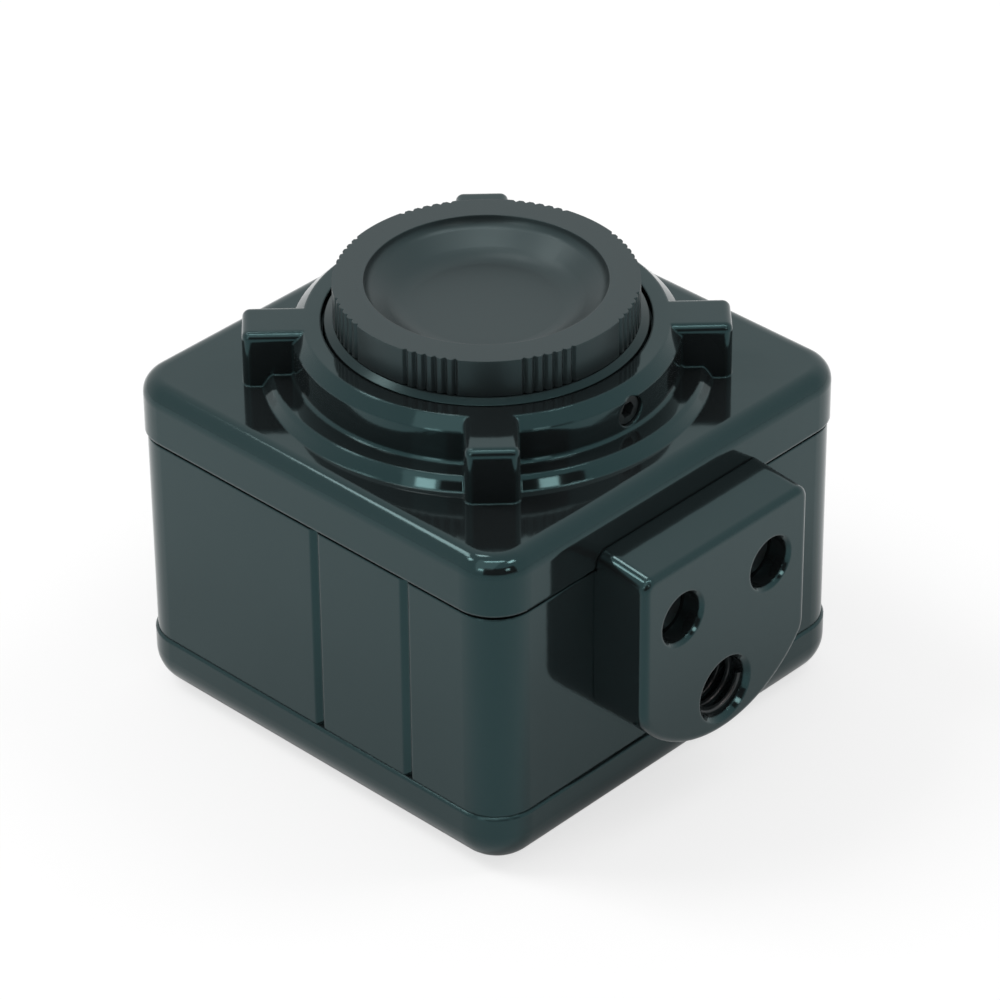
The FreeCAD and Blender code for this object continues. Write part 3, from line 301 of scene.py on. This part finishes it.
# %% Plain metals
METAL_GRAIN = 0.08 * MM
METAL_GRAIN_DEPTH = 0.0004 * MM
METAL_STAIN = 2.5 * MM
METAL_ROUGH_BY_GRAIN = 0.08
METAL_ROUGH_BY_STAIN = 0.06


def metal(name, tone, light, rough, metallic):
    material, tree, place = new_finish(name)
    grain = noise(place, METAL_GRAIN)
    stain = noise(place, METAL_STAIN, detail=3.0)
    return close_finish(
        material, tree,
        Base_Color=between(blend(grain, stain, share=0.3), tone, light),
        Roughness=rough + METAL_ROUGH_BY_GRAIN * grain + METAL_ROUGH_BY_STAIN * stain,
        Metallic=metallic,
        Normal=relief(grain, METAL_GRAIN_DEPTH),
    )


finishes["black_steel"] = metal(
    "black_oxide", (0.012, 0.016, 0.017), (0.030, 0.037, 0.038), rough=0.24, metallic=0.4)
finishes["bright_steel"] = metal(
    "nickel_plate", (0.56, 0.55, 0.52), (0.70, 0.69, 0.66), rough=0.16, metallic=1.0)
finishes["spacer_brass"] = metal(
    "plain_brass", (0.62, 0.44, 0.18), (0.75, 0.56, 0.27), rough=0.20, metallic=1.0)

# %% [markdown]
# Behind the cap lie the coated filter glass and the sensor's window, and a clear rod leads the status
# light to the rear. All three are real glass or clear plastic to the shader, with a trace of haze that
# keeps the surface from looking like air.

# %% Glass and clear plastic
HAZE_GRAIN = 3 * MM
HAZE_ROUGH = 0.03
COLOURLESS = (1.0, 1.0, 1.0)


def clear(name, tint, bend, rough):
    material, tree, place = new_finish(name)
    haze = noise(place, HAZE_GRAIN)
    return close_finish(
        material, tree,
        Base_Color=between(haze, tint, COLOURLESS),
        Roughness=rough + HAZE_ROUGH * haze,
        Transmission_Weight=1.0,
        IOR=bend,
    )


finishes["filter"] = clear("coated_glass", (0.62, 0.86, 0.83), bend=1.52, rough=0.01)
finishes["clear_plastic"] = clear("clear_rod", (0.82, 0.90, 0.88), bend=1.49, rough=0.04)

# %% [markdown]
# Chips, connectors, the sensor's package and the rubber seal are moulded or sintered: a fine grain and a
# slow change of tone. One recipe makes them all, with tones, roughness and grain of their own.

# %% Moulded pieces
MOULD_GRAIN = 0.15 * MM
SILICON_GRAIN = 0.02 * MM
MOULD_CLOUD = 3 * MM
MOULD_ROUGH_BY_GRAIN = 0.10
MOULD_DEPTH_SHARE = 0.02


def moulded(name, tone, light, rough, grain_size=MOULD_GRAIN):
    material, tree, place = new_finish(name)
    grain = noise(place, grain_size)
    cloud = noise(place, MOULD_CLOUD)
    return close_finish(
        material, tree,
        Base_Color=between(cloud, tone, light),
        Roughness=rough + MOULD_ROUGH_BY_GRAIN * grain,
        Normal=relief(grain, MOULD_DEPTH_SHARE * grain_size),
    )


finishes["seal_rubber"] = moulded(
    "seal_rubber", (0.012, 0.012, 0.012), (0.022, 0.022, 0.022), rough=0.6)
finishes["ceramic"] = moulded(
    "sensor_ceramic", (0.42, 0.40, 0.36), (0.52, 0.50, 0.46), rough=0.5)
finishes["silicon"] = moulded(
    "sensor_silicon", (0.10, 0.06, 0.13), (0.16, 0.12, 0.20), rough=0.12, grain_size=SILICON_GRAIN)
finishes["chip_black"] = moulded(
    "chip_moulding", (0.012, 0.012, 0.013), (0.020, 0.020, 0.022), rough=0.5)
finishes["connector_plastic"] = moulded(
    "connector_moulding", (0.014, 0.014, 0.015), (0.024, 0.024, 0.026), rough=0.4)
finishes["led_white"] = moulded(
    "led_moulding", (0.80, 0.78, 0.60), (0.85, 0.84, 0.76), rough=0.35)

# %% [markdown]
# The two boards are glass cloth under green solder mask, with copper tracks that stand a little proud of
# it. A brick texture gives straight tracks that end at odd places, which is enough for boards that only
# show when the case is open.

# %% Circuit boards
MASK_DEEP = (0.012, 0.09, 0.035)
MASK_LIGHT = (0.03, 0.17, 0.07)
MASK_ROUGH = 0.28
MASK_ROUGH_BY_WEAVE = 0.12
BOARD_WEAVE = 0.4 * MM
TRACK_DEPTH = 0.008 * MM
WEAVE_HEIGHT = 0.2
TRACKS = {"Scale": 400.0, "Mortar Size": 0.06, "Brick Width": 0.9, "Row Height": 0.35}
TRACK_STAGGER = 0.37


def laminate():
    material, tree, place = new_finish("board_laminate")
    tracks = tree.add("ShaderNodeTexBrick", {"offset": TRACK_STAGGER}, {"Vector": place, **TRACKS}, "Fac")
    weave = noise(place, BOARD_WEAVE)
    return close_finish(
        material, tree,
        Base_Color=between(blend(tracks, weave, share=0.8), MASK_DEEP, MASK_LIGHT),
        Roughness=MASK_ROUGH + MASK_ROUGH_BY_WEAVE * weave,
        Normal=relief(tracks + WEAVE_HEIGHT * weave, TRACK_DEPTH),
    )


finishes["board_laminate"] = laminate()

# %% [markdown]
# The record says which slot each solid belongs to, so no list of names is needed here: a loop looks up
# the slot and hands over the finish.

# %% Dress the solids
slot_of = {row["node"]: row["material_slot"] for row in frame["record"]["subparts"]}
for name, item in nodes.items():
    item.data.materials.clear()
    item.data.materials.append(finishes[slot_of[name]])
print("dressed", len(nodes), "solids in", len(set(slot_of.values())), "finishes")

# %% [markdown]
# Three threads show on this camera: the tripod thread in the foot, the lens thread inside the mount ring
# and its partner on the cap's spigot. A thread is one ridge wound along a helix. A Screw modifier or a
# loop over points could make it, but one node tree with named sizes serves all three, and a reader can
# change a pitch without touching a mesh.


# %% A tree that winds a ridge
def new_tree(name, inputs):
    """A geometry tree with named inputs, and a Wire for each of them."""
    tree = bpy.data.node_groups.new(name, "GeometryNodeTree")
    for label, kind in inputs.items():
        tree.interface.new_socket(name=label, in_out="INPUT", socket_type="NodeSocket" + kind)
    tree.interface.new_socket(name="Piece", in_out="OUTPUT", socket_type="NodeSocketGeometry")
    start = Wire(tree)
    return start, {label: start.add("NodeGroupInput", output=label) for label in inputs}


def close_tree(start, size, piece):
    """Puts the piece in its place, makes it real and paints it."""
    moved = {"Geometry": piece, "Translation": size["Place"], "Rotation": size["Turn"]}
    placed = start.add("GeometryNodeTransform", None, moved)
    real = start.add("GeometryNodeRealizeInstances", None, {"Geometry": placed})
    painted = start.add("GeometryNodeSetMaterial", None, {"Geometry": real, "Material": size["Finish"]})
    start.add("NodeGroupOutput", None, {"Piece": painted})
    print("tree", start.tree.name, "with", len(start.tree.nodes), "nodes")
    return start.tree


THREAD_STEPS = 72
TRIANGLE = 3


def thread_tree():
    inputs = {"Radius": "Float", "Pitch": "Float", "Turns": "Float", "Ridge": "Float", "Lean": "Vector"}
    inputs.update({"Place": "Vector", "Turn": "Vector", "Finish": "Material"})
    start, size = new_tree("wound_ridge", inputs)
    helix = start.add("GeometryNodeCurveSpiral", None, {
        "Resolution": THREAD_STEPS,
        "Rotations": size["Turns"],
        "Start Radius": size["Radius"],
        "End Radius": size["Radius"],
        "Height": size["Pitch"] * size["Turns"],
        "Reverse": True,
    })
    upright = start.add("GeometryNodeSetCurveNormal", {"mode": "Z_UP"}, {"Curve": helix})
    outline = {"Resolution": TRIANGLE, "Radius": size["Ridge"]}
    section = start.add("GeometryNodeCurvePrimitiveCircle", None, outline)
    leaning = start.add("GeometryNodeTransform", None, {"Geometry": section, "Rotation": size["Lean"]})
    sweep = {"Curve": upright, "Profile Curve": leaning, "Fill Caps": True}
    return close_tree(start, size, start.add("GeometryNodeCurveToMesh", None, sweep))


ridge_tree = thread_tree()

# %% [markdown]
# A tree on an object is only a promise, and the frame wants plain meshes. So each piece is built on an
# empty holder: its sizes are set by the sockets' identifiers, the evaluated object gives one mesh, and
# the tree comes off again before the piece is told which body it rides on.


# %% From tree to piece
def build_piece(name, tree, sizes, body, slot):
    holder = bpy.data.objects.new(name, bpy.data.meshes.new(name))
    bpy.context.scene.collection.objects.link(holder)
    modifier = holder.modifiers.new("build", "NODES")
    modifier.node_group = tree
    given = {**sizes, "Finish": finishes[slot]}
    for socket in tree.interface.items_tree:
        if socket.in_out == "INPUT":
            modifier[socket.identifier] = given[socket.name]
    graph = bpy.context.evaluated_depsgraph_get()
    mesh = bpy.data.meshes.new_from_object(holder.evaluated_get(graph))
    holder.modifiers.remove(modifier)
    shape = bmesh.new()
    shape.from_mesh(mesh)
    bmesh.ops.recalc_face_normals(shape, faces=shape.faces)
    shape.to_mesh(mesh)
    shape.free()
    holder.data = mesh
    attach(holder, body)
    print("piece", name, "on", body, "with", len(mesh.polygons), "faces")


print("build_piece is ready for", ridge_tree.name)

# %% [markdown]
# The tripod thread is 20 turns to the inch in the hole of the foot, the lens thread 32 turns to the inch.
# Each ridge's triangle is sunk a little into the wall that carries it, so no gap shows. Inside a hole the
# ridge points at the axis, on the spigot away from it. Where a ridge starts and how far it may run comes
# from the solids' own boxes and from the record's mount, and only whole turns are wound.

# %% Wind the threads
INCH = 25.4 * MM
TRIPOD_PITCH = INCH / 20
LENS_PITCH = INCH / 32
TRIPOD_RADIUS = 3.08 * MM
TRIPOD_RIDGE = 0.53 * MM
TRIPOD_MARGIN = 0.5 * MM
LENS_RADIUS = 12.45 * MM
SPIGOT_RADIUS = 12.0 * MM
LENS_RIDGE = 0.2 * MM
SPIGOT_LENGTH = 3.6 * MM
INWARDS = (0.0, 0.0, math.pi)
OUTWARDS = (0.0, 0.0, 0.0)
UPRIGHT = (0.0, 0.0, 0.0)
FACING_FOOT = (math.pi / 2, 0.0, 0.0)


def wind(name, body, slot, length, **sizes):
    """A thread of as many whole turns as fit the length."""
    sizes["Turns"] = math.floor(length / sizes["Pitch"])
    build_piece(name, ridge_tree, sizes, body, slot)


foot_low, foot_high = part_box("tripod_foot")
mount_of = {row["name"]: row for row in frame["record"]["mounts"]}
tripod_height = mount_of["tripod_thread"]["pos_m"][2]
wind(
    "tripod_thread", "case", "black_steel", length=foot_high.y - foot_low.y - 2 * TRIPOD_MARGIN,
    Radius=TRIPOD_RADIUS, Pitch=TRIPOD_PITCH, Ridge=TRIPOD_RIDGE, Lean=INWARDS,
    Place=(0.0, foot_high.y - TRIPOD_MARGIN, tripod_height), Turn=FACING_FOOT,
)

ring_low, ring_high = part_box("mount_ring")
wind(
    "lens_thread", "mount_ring", "black_anodised", length=ring_high.z - ring_low.z - 2 * LENS_RIDGE,
    Radius=LENS_RADIUS, Pitch=LENS_PITCH, Ridge=LENS_RIDGE, Lean=INWARDS,
    Place=(0.0, 0.0, ring_low.z + LENS_RIDGE), Turn=UPRIGHT,
)

spigot_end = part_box("dust_cap")[0]
wind(
    "spigot_thread", "cap", "black_cap", length=SPIGOT_LENGTH - 2 * LENS_RIDGE,
    Radius=SPIGOT_RADIUS, Pitch=LENS_PITCH, Ridge=LENS_RIDGE, Lean=OUTWARDS,
    Place=(0.0, 0.0, spigot_end.z + LENS_RIDGE), Turn=UPRIGHT,
)

# %% [markdown]
# The rear socket carries four contact springs on its tongue, two on each side. A spring is a thin strip
# that bows away from the tongue. The tree bends a strip along a curve once, then sets it on four points
# and turns the far pair round, so that both pairs bow outwards.

# %% Contact springs of the rear socket
SPRING_WIDTH = 1.0 * MM
SPRING_GAUGE = 0.15 * MM
SPRING_LENGTH = 5.6 * MM
SPRING_BOW = 0.18 * MM
SPRING_SPACING = 2.5 * MM
SPRING_STEPS = 10
TONGUE_THICKNESS = 3.2 * MM
TONGUE_MIDDLE = Vector((0.0, -7.0, 5.4)) * MM


def spring_tree():
    inputs = {"Width": "Float", "Gauge": "Float", "Length": "Float", "Bow": "Float", "Spacing": "Float"}
    inputs.update({"Tongue": "Float", "Place": "Vector", "Turn": "Vector", "Finish": "Material"})
    start, size = new_tree("contact_springs", inputs)
    low = start.add("ShaderNodeCombineXYZ", None, {"Z": -0.5 * size["Length"]})
    high = start.add("ShaderNodeCombineXYZ", None, {"Z": 0.5 * size["Length"]})
    crown = start.add("ShaderNodeCombineXYZ", None, {"Y": 2.0 * size["Bow"]})
    path = {"Resolution": SPRING_STEPS, "Start": low, "Middle": crown, "End": high}
    bowed = start.add("GeometryNodeCurveQuadraticBezier", None, path)
    strip = {"Width": size["Width"], "Height": size["Gauge"]}
    section = start.add("GeometryNodeCurvePrimitiveQuadrilateral", None, strip)
    sweep = {"Curve": bowed, "Profile Curve": section, "Fill Caps": True}
    spring = start.add("GeometryNodeCurveToMesh", None, sweep)
    corners = {"Size X": size["Spacing"], "Size Y": size["Tongue"], "Vertices X": 2, "Vertices Y": 2}
    points = start.add("GeometryNodeMeshGrid", None, corners)
    place = start.add("GeometryNodeInputPosition")
    side = start.add("ShaderNodeSeparateXYZ", None, {"Vector": place}, "Y")
    turn = start.add("ShaderNodeCombineXYZ", None, {"Z": math.pi * (1 - side.above(0.0))})
    each = {"Points": points, "Instance": spring, "Rotation": turn}
    return close_tree(start, size, start.add("GeometryNodeInstanceOnPoints", None, each))


spring_sizes = {
    "Width": SPRING_WIDTH,
    "Gauge": SPRING_GAUGE,
    "Length": SPRING_LENGTH,
    "Bow": SPRING_BOW,
    "Spacing": SPRING_SPACING,
    "Tongue": TONGUE_THICKNESS,
    "Place": TONGUE_MIDDLE,
    "Turn": UPRIGHT,
}
build_piece("socket_contacts", spring_tree(), spring_sizes, "case", "spacer_brass")

# %% [markdown]
# The camera stands where a match of the object's edges puts it: an azimuth, an elevation and a small roll
# about its own axis, looking at a point near the middle of the case from half a metre away. A long lens
# from that distance gives the nearly parallel edges of a product shot.

# %% Camera
CAMERA_AZIMUTH = math.radians(-46.079)
CAMERA_ELEVATION = math.radians(34.153)
CAMERA_ROLL = math.radians(-0.524)
CAMERA_DISTANCE = 504.413 * MM
CAMERA_TARGET = Vector((0.0, -1.563, 21.21)) * MM
CAMERA_LENS = 182.57
CAMERA_SENSOR = 36.0
CAMERA_NEAR = 10 * MM


def add_camera():
    flat = math.cos(CAMERA_ELEVATION)
    back = Vector((
        math.sin(CAMERA_AZIMUTH) * flat,
        -math.cos(CAMERA_AZIMUTH) * flat,
        math.sin(CAMERA_ELEVATION),
    ))
    right = (-back).cross(Vector((0, 0, 1))).normalized()
    up = right.cross(-back)
    turned_right = right * math.cos(CAMERA_ROLL) + up * math.sin(CAMERA_ROLL)
    turned_up = up * math.cos(CAMERA_ROLL) - right * math.sin(CAMERA_ROLL)
    data = bpy.data.cameras.new("camera")
    data.lens = CAMERA_LENS
    data.sensor_width = CAMERA_SENSOR
    data.clip_start = CAMERA_NEAR
    camera = bpy.data.objects.new("camera", data)
    axes = Matrix((turned_right, turned_up, back)).transposed()
    camera.matrix_world = Matrix.Translation(CAMERA_TARGET + back * CAMERA_DISTANCE) @ axes.to_4x4()
    bpy.context.scene.collection.objects.link(camera)
    bpy.context.scene.camera = camera
    print("camera at", [round(v, 3) for v in camera.location])


add_camera()

# %% [markdown]
# Gloss black shows nothing but its surroundings, so the studio is a white sweep. A lamp bright enough to
# burn the floor white would wash out the enamel. Instead the floor and the room answer each ray by its
# kind: the eye, mirrors and glass see white, while the light that falls on the object stays at a plain
# level. The floor mixes only part of that white in, so it keeps the object's shadow, and only a trace of
# it for mirrors, so that the low walls show the shadow too.

# %% White sweep and room
FLOOR_SIZE = 3.0
FLOOR_DROP = 0.02 * MM
FLOOR_WHITE = (0.97, 0.97, 0.97, 1.0)
FLOOR_GLOW = 0.7
FLOOR_MIRRORED = 0.05
ROOM_LEVEL = 0.63
WHITE = (1.0, 1.0, 1.0, 1.0)


def ray_kinds(tree):
    """1 for rays straight from the eye, and 1 for those that a mirror or glass sends on."""
    straight = tree.add("ShaderNodeLightPath", output="Is Camera Ray")
    glossy = tree.add("ShaderNodeLightPath", output="Is Glossy Ray")
    through = tree.add("ShaderNodeLightPath", output="Is Transmission Ray")
    return straight, glossy.either(through)


def add_floor():
    bpy.ops.mesh.primitive_plane_add(size=FLOOR_SIZE, location=(0, 0, cad_box[0].z - FLOOR_DROP))
    floor = bpy.context.object
    floor.name = "floor"
    material, tree = new_material("white_sweep")
    straight, mirrored = ray_kinds(tree)
    share = FLOOR_GLOW * straight + FLOOR_MIRRORED * mirrored
    lit = tree.add("ShaderNodeBsdfDiffuse", None, {"Color": FLOOR_WHITE})
    glow = tree.add("ShaderNodeEmission", None, {"Color": WHITE, "Strength": 1.0})
    seen = tree.add("ShaderNodeMixShader", None, {0: share, 1: lit, 2: glow})
    tree.add("ShaderNodeOutputMaterial", None, {"Surface": seen})
    floor.data.materials.append(material)
    print("floor", FLOOR_SIZE, "m wide at", round(floor.location.z, 4))


def add_room():
    world = bpy.data.worlds.new("white_room")
    world.use_nodes = True
    world.node_tree.nodes.clear()
    tree = Wire(world.node_tree)
    straight, mirrored = ray_kinds(tree)
    level = ROOM_LEVEL + (1 - ROOM_LEVEL) * straight.either(mirrored)
    room = tree.add("ShaderNodeBackground", None, {"Color": WHITE, "Strength": level})
    tree.add("ShaderNodeOutputWorld", None, {"Surface": room})
    bpy.context.scene.world = world
    print("room level", ROOM_LEVEL)


add_floor()
add_room()

# %% [markdown]
# A gloss black object also mirrors whoever takes the picture. A dark card stands for that: it is curved
# round the eye's side, well clear of the object, and only mirrors see it, so it neither shades the floor
# nor shows in any picture. It puts the dark strip between the thin lines on the front bevels.

# %% Dark card behind the eye
CARD_RADIUS = 0.70
CARD_LOW = 0.04
CARD_HIGH = 0.58
CARD_STEPS = 16
CARD_MIDDLE = math.radians(236.0)
CARD_HALF = math.radians(36.0)
CARD_DEEP = (0.004, 0.005, 0.005)
CARD_WORN = (0.007, 0.008, 0.008)
CARD_WEAVE = 4 * MM


def add_card():
    mesh = bpy.data.meshes.new("dark_card")
    points = []
    for step in range(CARD_STEPS + 1):
        angle = CARD_MIDDLE + CARD_HALF * (2 * step / CARD_STEPS - 1)
        x, y = CARD_RADIUS * math.cos(angle), CARD_RADIUS * math.sin(angle)
        points += [(x, y, CARD_LOW), (x, y, CARD_HIGH)]
    strips = [(2 * k, 2 * k + 2, 2 * k + 3, 2 * k + 1) for k in range(CARD_STEPS)]
    mesh.from_pydata(points, [], strips)
    card = bpy.data.objects.new("dark_card", mesh)
    bpy.context.scene.collection.objects.link(card)
    material, tree, place = new_finish("black_cloth")
    cloth = between(noise(place, CARD_WEAVE), CARD_DEEP, CARD_WORN)
    mesh.materials.append(close_finish(material, tree, Base_Color=cloth, Roughness=1.0))
    card.visible_camera = False
    card.visible_diffuse = False
    card.visible_shadow = False
    card.visible_transmission = False
    print("card with", len(strips), "strips at", CARD_RADIUS, "m")


add_card()

# %% [markdown]
# Two softboxes hang to the left and right, a little behind the object. They light the set and throw the
# object's shadow towards the eye, which leaves the front corner dark. A rounded black edge mirrors one
# narrow strip of the room, so large boxes would draw broad bands along it. They are hidden from mirrors,
# and other lamps are there for mirrors alone: seven small ones give the thin bright lines on the edges,
# the dashes beside the front lug and the soft spots in the cap's dish, and a dim panel lifts the bevels
# that face left. Those are a little warm, so that a mirror with a cool tint still shows them white.

# %% Lamps
SOFTBOX_SIZE = (0.25, 0.43)
SOFTBOXES = {
    "left_softbox": ((-0.256, 0.416, 0.632), SOFTBOX_SIZE, 2.9),
    "right_softbox": ((0.408, -0.272, 0.632), SOFTBOX_SIZE, 1.4),
}
MIRROR_LAMPS = {
    "back_left_lamp": ((-0.125, 0.405, 0.665), (0.26, 0.09), 0.65),
    "right_lamp": ((0.096, -0.388, 0.693), (0.16, 0.10), 0.9),
    "overhead_lamp": ((-0.118, -0.118, 0.782), (0.40, 0.06), 1.3),
    "high_left_lamp": ((-0.352, 0.290, 0.669), (0.12, 0.12), 0.6),
    "high_right_lamp": ((0.122, 0.283, 0.745), (0.14, 0.08), 0.45),
    "low_left_lamp": ((-0.533, -0.123, 0.291), (0.09, 0.09), 0.26),
    "low_right_lamp": ((-0.151, -0.526, 0.291), (0.09, 0.09), 0.26),
    "left_panel": ((-0.503, -0.183, 0.594), (0.5, 1.0), 1.8),
}
MIRROR_WARMTH = (1.0, 0.74, 0.71)


def add_lamp(name, place, size, power, mirrored):
    data = bpy.data.lights.new(name, "AREA")
    data.shape = "RECTANGLE"
    data.size, data.size_y = size
    data.energy = power
    lamp = bpy.data.objects.new(name, data)
    lamp.location = place
    lamp.rotation_euler = (-lamp.location).to_track_quat("-Z", "Y").to_euler()
    if mirrored:
        data.color = MIRROR_WARMTH
    lamp.visible_glossy = mirrored
    lamp.visible_diffuse = not mirrored
    bpy.context.scene.collection.objects.link(lamp)
    print(name, "at", [round(v, 2) for v in lamp.location], "with", power, "W")


for name, (place, size, power) in SOFTBOXES.items():
    add_lamp(name, place, size, power, False)
for name, (place, size, power) in MIRROR_LAMPS.items():
    add_lamp(name, place, size, power, True)

# %% [markdown]
# A film-like view would bend the tones that were chosen above. The plain one shows a colour about as it
# is written.

# %% Plain view
view = bpy.context.scene.view_settings
view.view_transform = "Standard"
print("view", view.view_transform, "with exposure", view.exposure)
